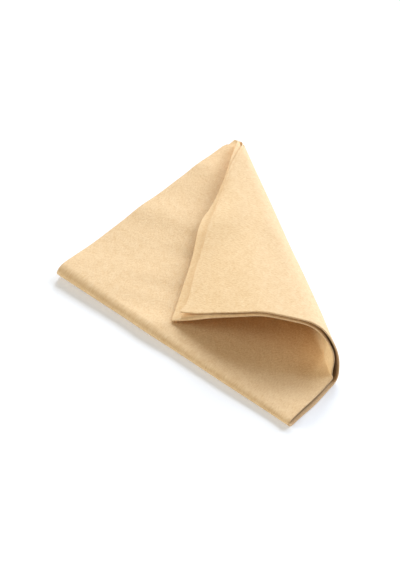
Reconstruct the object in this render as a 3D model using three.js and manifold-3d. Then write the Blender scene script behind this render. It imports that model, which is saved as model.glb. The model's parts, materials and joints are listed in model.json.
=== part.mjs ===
// A glass cleaning cloth, folded in quarters and laid flat, with one corner rolled loosely over.
//
// The cloth is folded twice. The side fold doubles it, and the main fold then lays one half of the
// doubled cloth over the other, so that an upper sheet of two leaves lies on a lower sheet of two. The
// quarter lies with the main fold along X and its closed corner at the +X end. The corner opposite the
// loose front corner is rolled over in a cone, tight at the back edge and open at the folded side.
//
// Each doubled sheet is a bed, a row of wedge strips round the roll, a crown and a flap. They meet at
// creases that all point at the tip of the cone, and every strip hangs on the crease before it.
//
// Millimetres, +Z up, the underside on z = 0.

import * as THREE from "three";
import { mergeVertices } from "three/addons/utils/BufferGeometryUtils.js";
import Module from "manifold-3d";

// Driving dimensions: the cloth
const clothLength = 400;
const clothWidth = 380;
const leafThickness = 0.8;
const leafGap = 0.3;
const cornerLift = 4;

// Driving dimensions: where the creases cross the edges of the flat quarter
// Side distances run from the closed corner along the folded side, back distances from the loose back
// corner along the cut edge. The corner turns up at a first, sharp crease, curls over at even, softer
// ones and bends down once more at the flap.
const firstSide = 47;
const firstBack = 2.5;
const curlSideStart = 66.5;
const curlSideEnd = 94;
const curlBackEnd = 29.5;
const flapSide = 126.5;

// Driving dimensions: how far the creases turn the cloth, in degrees
const firstTurn = 77;
const curlTurn = 99;
const curlCreases = 3;
const mostFlapTurn = 60;

// Clearances and facets
const creaseGap = 0.3;
const restClearance = 0.4;
const foldFacets = 8;
const weldDistance = 1e-4;
const settleSteps = 40;

const up = new THREE.Vector3(0, 0, 1);

// Sizes that follow from the driving dimensions
const sheetThickness = 2 * leafThickness + leafGap;
const sheetPitch = sheetThickness + leafGap;
const stackHeight = sheetPitch + sheetThickness;
const quarterLength = clothLength / 2;
const foldArc = (Math.PI * (stackHeight + cornerLift / 2 - leafThickness)) / 2;
const quarterDepth = (clothWidth - foldArc) / 2;
const cutterReach = 4 * clothLength;

const fabric = new THREE.MeshStandardMaterial({ color: 0xf2d3a4, roughness: 0.95, metalness: 0 });

const manifold = await Module();
manifold.setup();

// A closed geometry as a solid that can be cut.
function toSolid(geometry) {
  const bare = geometry.clone();
  bare.deleteAttribute("normal");
  bare.deleteAttribute("uv");
  const welded = mergeVertices(bare, weldDistance);
  const vertProperties = welded.getAttribute("position").array;
  const triVerts = new Uint32Array(welded.index.array);
  return new manifold.Manifold(new manifold.Mesh({ numProp: 3, vertProperties, triVerts }));
}

// A cut solid as a flat-shaded geometry.
function toGeometry(solid) {
  const { vertProperties, triVerts } = solid.getMesh();
  const geometry = new THREE.BufferGeometry();
  geometry.setAttribute("position", new THREE.BufferAttribute(vertProperties, 3));
  geometry.setIndex(new THREE.BufferAttribute(triVerts, 1));
  const faceted = geometry.toNonIndexed();
  faceted.computeVertexNormals();
  return faceted;
}

// The block of space on the side of a plane that its normal points to.
function halfSpace(point, normal) {
  const block = new THREE.BoxGeometry(cutterReach, cutterReach, cutterReach);
  block.translate(0, 0, cutterReach / 2);
  block.applyQuaternion(new THREE.Quaternion().setFromUnitVectors(up, normal));
  block.translate(point.x, point.y, point.z);
  return toSolid(block);
}

function namedMesh(name, geometry) {
  const mesh = new THREE.Mesh(geometry, fabric);
  mesh.name = name;
  return mesh;
}

// The tip of the cone: where the first crease and the last one of the curl meet.
function coneTip() {
  const start = new THREE.Vector2(quarterLength, firstSide);
  const end = new THREE.Vector2(quarterLength, curlSideEnd);
  const first = new THREE.Vector2(firstBack, quarterDepth).sub(start);
  const last = new THREE.Vector2(curlBackEnd, quarterDepth).sub(end);
  const along = end.clone().sub(start).cross(last) / first.cross(last);
  return start.addScaledVector(first, along);
}

// One crease of the flat quarter: a line from the cone's tip to a point of the folded side.
function sideCrease(tip, sideDistance, turn) {
  const point = new THREE.Vector3(quarterLength, sideDistance, 0);
  const direction = point.clone().sub(new THREE.Vector3(tip.x, tip.y, 0)).normalize();
  const across = up.clone().cross(direction);
  return { point, direction, across, turn };
}

// The creases of the lower sheet: the first, those of the curl and then the flap's.
function lowerCreases(flapTurn) {
  const tip = coneTip();
  const { degToRad, lerp } = THREE.MathUtils;
  const creases = [sideCrease(tip, firstSide, degToRad(firstTurn))];
  for (let i = 0; i < curlCreases; i += 1) {
    const side = lerp(curlSideStart, curlSideEnd, i / (curlCreases - 1));
    creases.push(sideCrease(tip, side, degToRad(curlTurn / curlCreases)));
  }
  creases.push(sideCrease(tip, flapSide, flapTurn));
  return creases;
}

// The creases of the sheet that lies inside another one: each corner it turns is tighter, so it runs ahead.
function creasesInside(creases, inset) {
  const slide = new THREE.Vector3();
  return creases.map(({ point, direction, across, turn }) => {
    const tuck = inset * Math.tan(turn / 2);
    const inner = point.clone().add(slide).addScaledVector(across, -tuck);
    inner.z = inset;
    slide.addScaledVector(across, -2 * tuck);
    return { point: inner, direction, across, turn };
  });
}

function turnAbout(crease, angle, target) {
  const turned = target.clone().sub(crease.point);
  return turned.applyAxisAngle(crease.direction, angle).add(crease.point);
}

// Where a point of the flat flap comes to lie once every crease is turned.
function rolledOver(creases, point) {
  return creases.reduceRight((place, crease) => turnAbout(crease, crease.turn, place), point);
}

// How far the upper bed is tilted up about its first crease, so that it springs off at the loose corner.
function liftAngle(crease) {
  const looseCorner = new THREE.Vector3(0, 0, crease.point.z);
  return Math.atan2(cornerLift, Math.abs(looseCorner.sub(crease.point).dot(crease.across)));
}

// The flap comes down until the lowest of its corners rests on the upper bed.
function settledFlapTurn() {
  const clearanceAt = (turn) => {
    const creases = creasesInside(lowerCreases(turn), sheetPitch);
    const bed = creases[0];
    const flap = creases[creases.length - 1];
    const tip = new THREE.Vector3(quarterLength, quarterDepth, stackHeight);
    const bend = new THREE.Vector3(flap.point.x, flap.point.y, stackHeight);
    const heights = [tip, bend].map((corner) => {
      const lying = turnAbout(bed, liftAngle(bed), rolledOver(creases, corner));
      return lying.z - stackHeight;
    });
    return Math.min(...heights) - restClearance;
  };
  let open = 0;
  let closed = THREE.MathUtils.degToRad(mostFlapTurn);
  for (let i = 0; i < settleSteps; i += 1) {
    const middle = (open + closed) / 2;
    if (clearanceAt(middle) > 0) open = middle;
    else closed = middle;
  }
  return open;
}

// A doubled sheet laid flat: two leaves joined by the round side fold at +X.
function doubledSheet(lowest) {
  const outer = sheetThickness / 2;
  const inner = leafGap / 2;
  const foldAt = quarterLength - outer;
  const section = new THREE.Shape();
  section.moveTo(0, 0);
  section.lineTo(foldAt, 0);
  section.absarc(foldAt, outer, outer, -Math.PI / 2, Math.PI / 2, false);
  section.lineTo(0, sheetThickness);
  section.lineTo(0, sheetThickness - leafThickness);
  section.lineTo(foldAt, sheetThickness - leafThickness);
  section.absarc(foldAt, outer, inner, Math.PI / 2, -Math.PI / 2, true);
  section.lineTo(0, leafThickness);
  section.closePath();
  const depth = quarterDepth - creaseGap;
  const settings = { depth, bevelEnabled: false, curveSegments: foldFacets };
  const sheet = new THREE.ExtrudeGeometry(section, settings);
  sheet.rotateX(Math.PI / 2);
  sheet.translate(0, quarterDepth, lowest);
  return toSolid(sheet);
}

// One side of the mitre at a crease: +1 keeps what lies beyond the crease, -1 what lies before it.
function mitre(crease, side) {
  const normal = crease.across.clone().multiplyScalar(side);
  normal.addScaledVector(up, -Math.tan(crease.turn / 2)).normalize();
  const point = crease.point.clone().addScaledVector(crease.across, (side * creaseGap) / 2);
  return halfSpace(point, normal);
}

// The group that holds everything beyond a crease, turned about it.
function beyondCrease(parent, crease, angle) {
  const hinge = new THREE.Group();
  hinge.position.copy(crease.point);
  hinge.quaternion.setFromAxisAngle(crease.direction, angle);
  const beyond = new THREE.Group();
  beyond.position.copy(crease.point).negate();
  hinge.add(beyond);
  parent.add(hinge);
  return beyond;
}

// The piece of a sheet that follows a crease: a strip of the roll, its crown or the flap.
function pieceName(index) {
  if (index > curlCreases) return "flap";
  return index === curlCreases ? "crown" : `roll_${index + 1}`;
}

// A doubled sheet cut at its creases, each piece nested in the group of the one before it.
function rolledSheet(name, creases, lowest, bedTilt) {
  const sheet = doubledSheet(lowest);
  const group = new THREE.Group();
  const bedSolid = sheet.intersect(mitre(creases[0], -1));
  beyondCrease(group, creases[0], -bedTilt).add(namedMesh(`${name}_bed`, toGeometry(bedSolid)));
  let holder = group;
  creases.forEach((crease, index) => {
    const next = creases[index + 1];
    const beyond = sheet.intersect(mitre(crease, 1));
    const piece = next ? beyond.intersect(mitre(next, -1)) : beyond;
    const full = `${name}_${pieceName(index)}`;
    holder = beyondCrease(holder, crease, crease.turn);
    holder.name = `${full}_joint`;
    holder.add(namedMesh(full, toGeometry(piece)));
  });
  return group;
}

// A band of cloth round the main fold, from a leaf of the lower sheet to a leaf of the upper one.
// lowFace and highFace are the heights of its outer faces with the quarter pressed flat.
function mainFoldBand(name, lowFace, highFace, liftAt) {
  const ends = [0, quarterLength].map((x) => {
    const radius = (highFace + liftAt(x) - lowFace) / 2;
    const middle = lowFace + radius;
    const arc = (out) => {
      const points = [];
      for (let i = 0; i <= foldFacets; i += 1) {
        const angle = -Math.PI / 2 - (Math.PI * i) / foldFacets;
        points.push(new THREE.Vector3(x, out * Math.cos(angle), middle + out * Math.sin(angle)));
      }
      return points;
    };
    return [...arc(radius), ...arc(radius - leafThickness).reverse()];
  });
  const count = ends[0].length;
  const position = ends.flat().flatMap((p) => p.toArray());
  const index = [];
  for (let i = 0; i < count; i += 1) {
    const j = (i + 1) % count;
    index.push(i, count + i, j, j, count + i, count + j);
  }
  for (let i = 0; i < foldFacets; i += 1) {
    const inside = count - 1 - i;
    index.push(i, i + 1, inside, i + 1, inside - 1, inside);
    index.push(count + i, count + inside, count + i + 1, count + i + 1, count + inside, count + inside - 1);
  }
  const band = new THREE.BufferGeometry();
  band.setAttribute("position", new THREE.Float32BufferAttribute(position, 3));
  band.setIndex(index);
  const faceted = band.toNonIndexed();
  faceted.computeVertexNormals();
  return namedMesh(name, faceted);
}

function makeCloth() {
  const lower = lowerCreases(settledFlapTurn());
  const upper = creasesInside(lower, sheetPitch);
  const tilt = liftAngle(upper[0]);
  const cloth = new THREE.Group();
  cloth.add(rolledSheet("lower_sheet", lower, 0, 0));
  cloth.add(rolledSheet("upper_sheet", upper, sheetPitch, tilt));

  const liftAt = (x) => {
    const front = new THREE.Vector3(x, 0, stackHeight);
    return turnAbout(upper[0], -tilt, front).z - stackHeight;
  };
  const innerLow = leafThickness + leafGap;
  const innerHigh = stackHeight - leafThickness - leafGap;
  cloth.add(mainFoldBand("main_fold_outer", 0, stackHeight, liftAt));
  cloth.add(mainFoldBand("main_fold_inner", innerLow, innerHigh, liftAt));
  return cloth;
}

// The origin is on the underside, in the middle of the box that the cloth fills.
const cloth = makeCloth();
const middle = new THREE.Box3().setFromObject(cloth, true).getCenter(new THREE.Vector3());
cloth.position.set(-middle.x, -middle.y, 0);

const part = new THREE.Group();
part.add(cloth);

export default part;
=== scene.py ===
"""A glass cleaning cloth, folded in quarters and laid flat, with one corner rolled loosely over.

The cloth is modelled as one brushed sheet. It is folded at its side fold and at its main fold, and the
loose corner is then rolled into a cone. Metres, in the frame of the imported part.
"""

import json
import logging
import math
from collections.abc import Callable
from dataclasses import dataclass, field
from enum import Enum

import bpy
import numpy as np
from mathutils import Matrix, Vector


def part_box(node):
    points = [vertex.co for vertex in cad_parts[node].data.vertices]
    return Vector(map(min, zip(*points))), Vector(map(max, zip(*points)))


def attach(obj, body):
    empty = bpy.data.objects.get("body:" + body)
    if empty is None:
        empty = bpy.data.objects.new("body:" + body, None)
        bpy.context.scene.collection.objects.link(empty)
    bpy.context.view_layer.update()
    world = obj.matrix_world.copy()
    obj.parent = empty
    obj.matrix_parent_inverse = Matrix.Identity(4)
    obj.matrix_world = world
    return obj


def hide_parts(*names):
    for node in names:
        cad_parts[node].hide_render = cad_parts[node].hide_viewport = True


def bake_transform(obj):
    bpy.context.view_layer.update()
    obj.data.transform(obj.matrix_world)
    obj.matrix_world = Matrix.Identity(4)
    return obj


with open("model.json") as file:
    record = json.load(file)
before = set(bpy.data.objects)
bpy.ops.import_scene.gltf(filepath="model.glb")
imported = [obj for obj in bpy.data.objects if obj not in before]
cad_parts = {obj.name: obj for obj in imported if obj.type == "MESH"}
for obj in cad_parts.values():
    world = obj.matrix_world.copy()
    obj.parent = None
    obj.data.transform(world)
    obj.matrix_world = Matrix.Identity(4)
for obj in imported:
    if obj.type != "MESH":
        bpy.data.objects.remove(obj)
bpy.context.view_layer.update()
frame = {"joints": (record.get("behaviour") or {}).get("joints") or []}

log = logging.getLogger("cloth")

Span = tuple[float, float]
Colour = tuple[float, ...]
Array = np.ndarray
SurfaceMap = Callable[[Array, Array], Array]
Tree = bpy.types.NodeTree
Node = bpy.types.Node
Socket = bpy.types.NodeSocket

IMAGE_WIDTH = 400
IMAGE_HEIGHT = 570
CLOTH_MAP = "cloth"
# Mesh attribute that says how strongly points are painted with shade in the crevice between the side folds.
PAINTED_SHADE_MASK = "crevice"
NORMAL_PROBE = 1e-3
SQUARE_CM = 1e4
QUARTER_TURN = 90.0


class Sheet(Enum):
    """The two doubled sheets of the folded quarter."""

    LOWER = "lower"
    UPPER = "upper"


class Edge(Enum):
    """The material slots of a piece: the brushed faces and the cut edges, whose finish holds painted shade.
    """

    FACE = 0
    CUT = 1


def hump(value: Array, width: float) -> Array:
    """Rounded hump, 1 in the middle and falling off over the width."""
    return np.exp(-((value / width) ** 2))


def smooth(value: Array, low: float, high: float) -> Array:
    """Smooth step from 0 at low to 1 at high."""
    t = np.clip((value - low) / (high - low), 0, 1)
    return t * t * (3 - 2 * t)


def fade(value: Array, low: float, high: float) -> Array:
    """Smooth step from 1 at low to 0 at high."""
    return 1 - smooth(value, low, high)


@dataclass(frozen=True)
class ClothSizes:
    """Sizes of the open cloth and of its leaves.

    Attributes:
        length: Side of the open cloth along the main fold.
        width: Side of the open cloth along the side fold.
        leaf: Thickness of one leaf.
        leaf_pitch: Distance between the leaves of a doubled sheet.
        sheet_gap: Air between the two doubled sheets.
        fold_radius: Radius of the side folds at the middle of the leaf.
        fold_reach: How far in from the side fold the sheet stays puffed.
        fold_gap: Air between the two side folds, up to the top of the roll.
        fold_inset: How far the upper side fold stands back from the lower one, up to the top of the roll.
        corner_lift: How far the upper sheet springs up at the loose front corner.
        edge_clearance: Gap that the solids leave at the main fold.
    """

    length: float = 0.400
    width: float = 0.380
    leaf: float = 0.00045
    leaf_pitch: float = 0.0005
    sheet_gap: float = 0.00105
    fold_radius: float = 0.00037
    fold_reach: float = 0.008
    fold_gap: float = 0.0014
    fold_inset: float = 0.0011
    corner_lift: float = 0.004
    edge_clearance: float = 0.0003


@dataclass(frozen=True)
class Bend:
    """One bend of the roll, along a line from the cone's tip.

    Attributes:
        side: Where its middle crosses the folded side, from the closed corner.
        turn: How far it turns the cloth, in radians.
        spread: Half of the width over which it turns, along the folded side.
    """

    side: float
    turn: float
    spread: float

    def turned(self, sides: Array) -> Array:
        """How far the cloth is turned by this bend at places along the folded side."""
        share = np.clip((sides - self.side) / self.spread, -1, 1)
        return self.turn * (1 + share + np.sin(math.pi * share) / math.pi) / 2


@dataclass(frozen=True)
class Wave:
    """One soft wave of the cloth: its length, heading in radians, phase and height."""

    length: float
    heading: float
    phase: float
    height: float

    def at(self, x: Array, y: Array) -> Array:
        """Height of the wave at points of the flat quarter."""
        along = x * math.cos(self.heading) + y * math.sin(self.heading)
        return self.height * np.sin(2 * math.pi * along / self.length + self.phase)


@dataclass(frozen=True)
class Swell:
    """A rounded swell along a line: its middle, half width and height."""

    middle: float
    width: float
    height: float

    def at(self, along: Array) -> Array:
        """Height of the swell at places along the line."""
        return self.height * hump(along - self.middle, self.width)


@dataclass(frozen=True)
class Crumple:
    """The soft creases that handling leaves in a cloth, drawn as waves from a seed.

    Attributes:
        seed: Seed of the draw.
        steepness: How steep the creases are, as a mean slope.
        heading: Bearing across the creases, in radians.
        fan: How far their bearings stray from it.
        longest: Length of the longest wave.
        shortest: Length of the shortest wave.
        count: How many waves are drawn.
        patch_length: Length of the wave that makes the creases stronger and weaker.
        patch_turn: Bearing of that wave from the creases' own, in radians.
        patch_height: How much that wave adds and takes.
        patch_mean: Strength of the creases without it.
    """

    seed: int
    steepness: float
    heading: float
    fan: float = 0.5
    longest: float = 0.070
    shortest: float = 0.017
    count: int = 16
    patch_length: float = 0.11
    patch_turn: float = 1.2
    patch_height: float = 0.5
    patch_mean: float = 0.7

    def at(self, x: Array, y: Array) -> Array:
        """Height of the creases at points of the flat quarter.

        Args:
            x: Flat places along the main fold.
            y: Flat places from the main fold to the back.

        Returns:
            Heights above and below the smooth cloth.
        """
        draw = np.random.default_rng(self.seed)
        total = np.zeros_like(x)
        for length in np.geomspace(self.longest, self.shortest, self.count):
            bearing = self.heading + self.fan * draw.uniform(-1, 1)
            height = self.steepness * length / (2 * math.pi) * math.sqrt(2 / self.count)
            total = total + Wave(length, bearing, draw.uniform(0, 2 * math.pi), height).at(x, y)
        phase = draw.uniform(0, 2 * math.pi)
        patch = Wave(self.patch_length, self.heading + self.patch_turn, phase, self.patch_height)
        return total * (self.patch_mean + patch.at(x, y))


@dataclass(frozen=True)
class BedForm:
    """How the upper sheet stands off the lower one on the bed.

    Attributes:
        easing: Distance from the first crease over which the lift of the loose corner sets in.
        start: Distance from it over which the spring, the ripples and the creases set in.
        spring: Swell of the springy main fold, from the fold to the back.
        spring_least: Share of that swell that is left far from the loose corner.
        spring_fade: Distance along the main fold over which it sinks to that.
        ripple_lean: How far the ripples lean back, in y for each x.
        ripples: Swells of the loose edge, along that edge.
        ripple_fade: Distance from the loose edge over which the ripples die out.
        crease_base: Height that is added to the creases before they meet the lower sheet.
        creases: Soft creases of the sheet.
    """

    easing: float = 0.02
    start: float = 0.03
    spring: Swell = Swell(0.0, 0.022, 0.0018)
    spring_least: float = 0.35
    spring_fade: float = 0.09
    ripple_lean: float = 0.34
    ripples: tuple[Swell, ...] = (Swell(0.081, 0.013, 0.0016), Swell(0.142, 0.013, 0.0011))
    ripple_fade: float = 0.07
    crease_base: float = 0.0004
    creases: Crumple = Crumple(seed=4, steepness=0.055, heading=2.0)


@dataclass(frozen=True)
class RollForm:
    """How the rolled corner departs from an even cone. Lines are named by where they cross the folded side.

    Attributes:
        start: Distance past the first crease over which the creases and dents set in.
        creases: Soft creases of the rolled corner.
        flare: How far the lower sheet flares out at the back cut edge.
        flare_reach: How far in from that edge it does so.
        air: Air added between the sheets at the back cut edge, where the cone is tight.
        air_reach: How far in from that edge it is added.
        air_lines: Lines between which that air sets in.
        fold_closing: Places from the main fold between which the gap of the side folds closes up.
        drawn: How far the roll is drawn in from its creases.
        drawn_from: Line where that sets in.
        drawn_growth: Distance over which it grows.
        drawn_until: Lines between which it runs out.
        ahead_until: Line from which the upper sheet's lead over the lower one is eased out.
        buckle: Swell of the flap's buckled cut edge, along the edge.
        buckle_reach: How far in from the edge the buckle runs.
        facet: Swell of the rounded facet where the upper sheet turns up beside the mouth.
        facet_until: Distances from the side fold between which the facet runs out.
        nick: Swell of the short creases on that facet.
        nick_places: Where they lie from the side fold.
    """

    start: float = 0.03
    creases: Crumple = Crumple(seed=11, steepness=0.062, heading=1.1)
    flare: float = 0.0011
    flare_reach: float = 0.006
    air: float = 0.0005
    air_reach: float = 0.008
    air_lines: Span = (0.028, 0.046)
    fold_closing: Span = (0.066, 0.086)
    drawn: float = 0.0010
    drawn_from: float = 0.040
    drawn_growth: float = 0.02
    drawn_until: Span = (0.115, 0.155)
    ahead_until: float = 0.110
    buckle: Swell = Swell(0.117, 0.019, 0.0022)
    buckle_reach: float = 0.02
    facet: Swell = Swell(0.0, 0.013, 0.0024)
    facet_until: Span = (0.010, 0.021)
    nick: Swell = Swell(0.006, 0.008, 0.0005)
    nick_places: tuple[Swell, ...] = (Swell(0.023, 0.003, 1.0), Swell(0.010, 0.003, 1.0))


@dataclass(frozen=True)
class FoldForm:
    """How the side folds stand out from a straight line, at places along the folded side.

    Attributes:
        belly: Swell of both folds beside the mouth of the roll.
        front: Swell of the lower fold on the bed.
        top: How far the lower fold stands out on top of the roll.
        top_from: Places between which that sets in.
        top_until: Places between which it runs out.
        inset_until: Places between which the upper fold's inset runs out.
    """

    belly: Swell = Swell(0.063, 0.013, 0.0021)
    front: Swell = Swell(0.024, 0.014, 0.001)
    top: float = 0.0028
    top_from: Span = (0.058, 0.082)
    top_until: Span = (0.140, 0.192)
    inset_until: Span = (0.060, 0.085)


@dataclass(frozen=True)
class CutForm:
    """How the cut edges of the leaves run. Outer leaves show, and inner ones face the other sheet.

    Attributes:
        upper_edge: Swells of the upper sheet's back edge.
        lower_edge: Swells of the lower sheet's back edge.
        upper_step: How far the upper sheet's outer leaf falls short at the back.
        lower_step: How far the lower sheet's outer leaf falls short there.
        lower_step_until: Places along the back edge between which that runs out.
        blunt: How far the upper sheet's back corner falls short.
        blunt_from: Distance from that corner at which the edges start to fall short.
        blunt_full: Distance from it at which the loose edge has fallen short.
        upper_loose: How far the upper sheet's outer and inner leaf fall short at the loose edge.
        lower_loose: How far the lower sheet's outer and inner leaf fall short there.
    """

    upper_edge: tuple[Swell, ...] = (Swell(0.118, 0.019, 0.0030), Swell(0.052, 0.030, -0.0022))
    lower_edge: tuple[Swell, ...] = (
        Swell(0.177, 0.015, -0.0027),
        Swell(0.142, 0.020, -0.0010),
        Swell(0.055, 0.02, 0.001),
    )
    upper_step: float = 0.0006
    lower_step: float = 0.0021
    lower_step_until: Span = (0.08, 0.125)
    blunt: float = 0.005
    blunt_from: float = 0.012
    blunt_full: float = 0.003
    upper_loose: Span = (0.0, 0.0007)
    lower_loose: Span = (0.0002, 0.0008)


@dataclass(frozen=True)
class PaintedCreviceShade:
    """Painted shade in the crevice between the side folds of the two sheets: the cloth's colour is darkened
    there.

    Attributes:
        sets_in: Steps round the sheet between which it darkens, on the leaves that face each other.
        runs_out: Steps between which it lightens again.
        closing: Places along the folded side between which it gets fainter.
        closed: How much fainter it gets.
    """

    sets_in: Span = (1.003, 1.012)
    runs_out: Span = (1.03, 1.06)
    closing: Span = (0.045, 0.070)
    closed: float = 0.7

    def depth(self, around: Array) -> Array:
        """How far into the crevice points lie, from 0 to 1, by their steps round the sheet: the strength of
        the painted shade.
        """
        return smooth(-around, *self.sets_in) * fade(-around, *self.runs_out)

    def share(self, side: Array) -> Array:
        """How strong the painted shade is at places along the folded side."""
        return 1 - self.closed * smooth(side, *self.closing)


def line_meeting(first: dict, second: dict) -> Array:
    """Point where two joints' axes meet.

    Args:
        first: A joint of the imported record.
        second: Another one, whose axis isn't parallel to it.

    Returns:
        The middle of the shortest link between the two lines.
    """
    p, q = np.array(first["pos_m"]), np.array(second["pos_m"])
    u, v = np.array(first["axis"]), np.array(second["axis"])
    along = np.linalg.lstsq(np.stack([u, -v], axis=1), q - p, rcond=None)[0]
    return (p + u * along[0] + q + v * along[1]) / 2


def turn_about(axis: Array, angle: float) -> Array:
    """Rotation matrix about a unit axis.

    Args:
        axis: Unit vector.
        angle: Turn in radians, by the right-hand rule.

    Returns:
        A 3 by 3 matrix.
    """
    x, y, z = axis
    cross = np.array([[0, -z, y], [z, 0, -x], [-y, x, 0]])
    return np.eye(3) + math.sin(angle) * cross + (1 - math.cos(angle)) * cross @ cross


@dataclass
class FoldedQuarter:
    """The shape of the folded cloth: where each point of a leaf comes to lie.

    Flat places are x along the main fold from the loose corner, and y from the main fold to the back.

    Attributes:
        sizes: Sizes of the cloth.
        bed_form: Form of the bed.
        roll_form: Form of the rolled corner.
        spreads: Half widths of the bends along the folded side, in the order of the creases.
        back_room: How much wider the first bend opens at the back edge, where the cone is tight.
        back_reach: How far along the folded side that room is made.
        steps: How many small turns make up the roll.
        end_gap: What the last small turn leaves of the folded side.
        halvings: How often a line of the roll is halved in on.
        slide_rounds: How often the slide of the upper sheet is put right.
        settle_rounds: How often the flap's bend is halved in on.
        settle_range: Least and greatest bend of the flap, as shares of its crease.
        rest_gap: Air under the tip of the flap.
    """

    sizes: ClothSizes = field(default_factory=ClothSizes)
    bed_form: BedForm = field(default_factory=BedForm)
    roll_form: RollForm = field(default_factory=RollForm)
    spreads: tuple[float, ...] = (0.0088, 0.0144, 0.0144, 0.0144, 0.0147)
    back_room: float = 0.54
    back_reach: float = 0.014
    steps: int = 600
    end_gap: float = 1e-4
    halvings: int = 30
    slide_rounds: int = 8
    settle_rounds: int = 24
    settle_range: Span = (0.5, 1.7)
    rest_gap: float = 0.0002

    def __post_init__(self) -> None:
        """Read the place of the quarter and its creases from the frame."""
        low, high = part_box("lower_sheet_bed")
        self.length = self.sizes.length / 2
        self.corner = np.array([low.x, low.y - self.sizes.edge_clearance, 0.0])
        self.depth = high.y - self.corner[1]
        self.joints = {j["child"]: j for j in frame["joints"]}
        self.tip = line_meeting(self.joints["lower_roll_1"], self.joints["lower_crown"]) - self.corner
        self.creases = [n for n in self.joints if n.startswith(Sheet.LOWER.value)]
        self.bends = [
            Bend(self.side_of(n), math.radians(self.joints[n]["range_deg"][1]), spread)
            for n, spread in zip(self.creases, self.spreads)
        ]
        self.pitch = self.joints["upper_roll_1"]["pos_m"][2]
        self.roll()
        self.settle_flap()

    def side_of(self, body: str) -> float:
        """Where a crease crosses the folded side, from the closed corner.

        Args:
            body: The body that hangs on the crease.

        Returns:
            Distance along the folded side in metres.
        """
        reach = np.linalg.norm(np.array(self.joints[body]["pos_m"]) - self.corner - self.tip)
        across = self.length - self.tip[0]
        return float(self.tip[1] - math.sqrt(reach**2 - across**2))

    def back_place(self, side: Array) -> Array:
        """Where a line of the roll meets the back cut edge, from the loose back corner.

        Args:
            side: Where the line crosses the folded side.

        Returns:
            Places along the back edge.
        """
        straight = self.length - (self.depth - side) * (self.length - self.tip[0]) / (self.tip[1] - side)
        beside = side - self.bends[0].side
        return straight + self.back_room * beside * hump(beside, self.back_reach)

    def slope(self, side: Array) -> Array:
        """How steeply a line of the roll rises from the folded side towards the back."""
        return (self.depth - side) / (self.length - self.back_place(side))

    def ahead(self, side: Array) -> Array:
        """How far the upper sheet runs ahead inside the lower one, on lines of the roll.

        Args:
            side: Where the lines cross the lower sheet's folded side.

        Returns:
            Distances along the folded side, eased out towards the rolled corner.
        """
        slide_x, slide_y = (np.interp(side, self.sides, part) for part in self.slides.T)
        lead = -self.pitch * (slide_y + slide_x * self.slope(side))
        return lead * fade(side, self.roll_form.ahead_until, self.depth)

    def line_through(self, flat: Array) -> Array:
        """Where the lines of the roll through flat places cross the folded side.

        Args:
            flat: Flat places, with x and y on the last axis.

        Returns:
            Places along the folded side.
        """
        low = np.zeros(len(flat))
        high = np.full(len(flat), self.depth)
        for _ in range(self.halvings):
            side = (low + high) / 2
            beyond = flat[:, 1] > side + (self.length - flat[:, 0]) * self.slope(side)
            low = np.where(beyond, side, low)
            high = np.where(beyond, high, side)
        return (low + high) / 2

    def roll(self) -> None:
        """Lay out the roll as a table of small turns along the folded side."""
        self.sides = np.linspace(0, self.depth - self.end_gap, self.steps + 1)
        self.turns = np.diff(sum(bend.turned(self.sides) for bend in self.bends))
        middles = (self.sides[1:] + self.sides[:-1]) / 2
        angles = -np.arctan(self.slope(middles))
        level = np.zeros(self.steps)
        self.axes = np.stack([np.cos(angles), np.sin(angles), level], axis=1)
        self.places = np.stack([np.full(self.steps, self.length), middles, level], axis=1)
        across = np.stack([-np.sin(angles), np.cos(angles)], axis=1)
        slides = np.cumsum(-self.turns[:, None] * across, axis=0)
        self.slides = np.concatenate([np.zeros((1, 2)), slides])
        turned, moved = [np.eye(3)], [np.zeros(3)]
        for axis, turn, place in zip(self.axes, self.turns, self.places):
            small = turn_about(axis, turn)
            moved.append(moved[-1] + turned[-1] @ (place - small @ place))
            turned.append(turned[-1] @ small)
        self.turned, self.moved = np.array(turned), np.array(moved)

    def settle_flap(self) -> None:
        """Bend the flap down until the tip of the inner leaf rests on the bed."""
        flap = self.bends[-1]
        low, high = (share * flap.turn for share in self.settle_range)
        tip = np.array([self.length]), np.array([self.depth])
        for _ in range(self.settle_rounds):
            turn = (low + high) / 2
            self.bends[-1] = Bend(flap.side, turn, flap.spread)
            self.roll()
            under = self.heights(*tip, np.ones(1), Sheet.UPPER) + self.sizes.leaf / 2
            point = (self.rolled(*tip, under, Sheet.UPPER) - self.corner)[0]
            bed = self.heights(point[:1], point[1:2], np.ones(1), Sheet.UPPER) + self.sizes.leaf / 2
            if point[2] > bed[0] + self.rest_gap:
                low = turn
            else:
                high = turn

    def before_first(self, x: Array, y: Array) -> Array:
        """Distance of flat places from the first crease, positive on the bed."""
        angle = math.atan2(self.bends[0].side - self.tip[1], self.length - self.tip[0])
        return (x - self.tip[0]) * math.sin(angle) - (y - self.tip[1]) * math.cos(angle)

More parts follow.
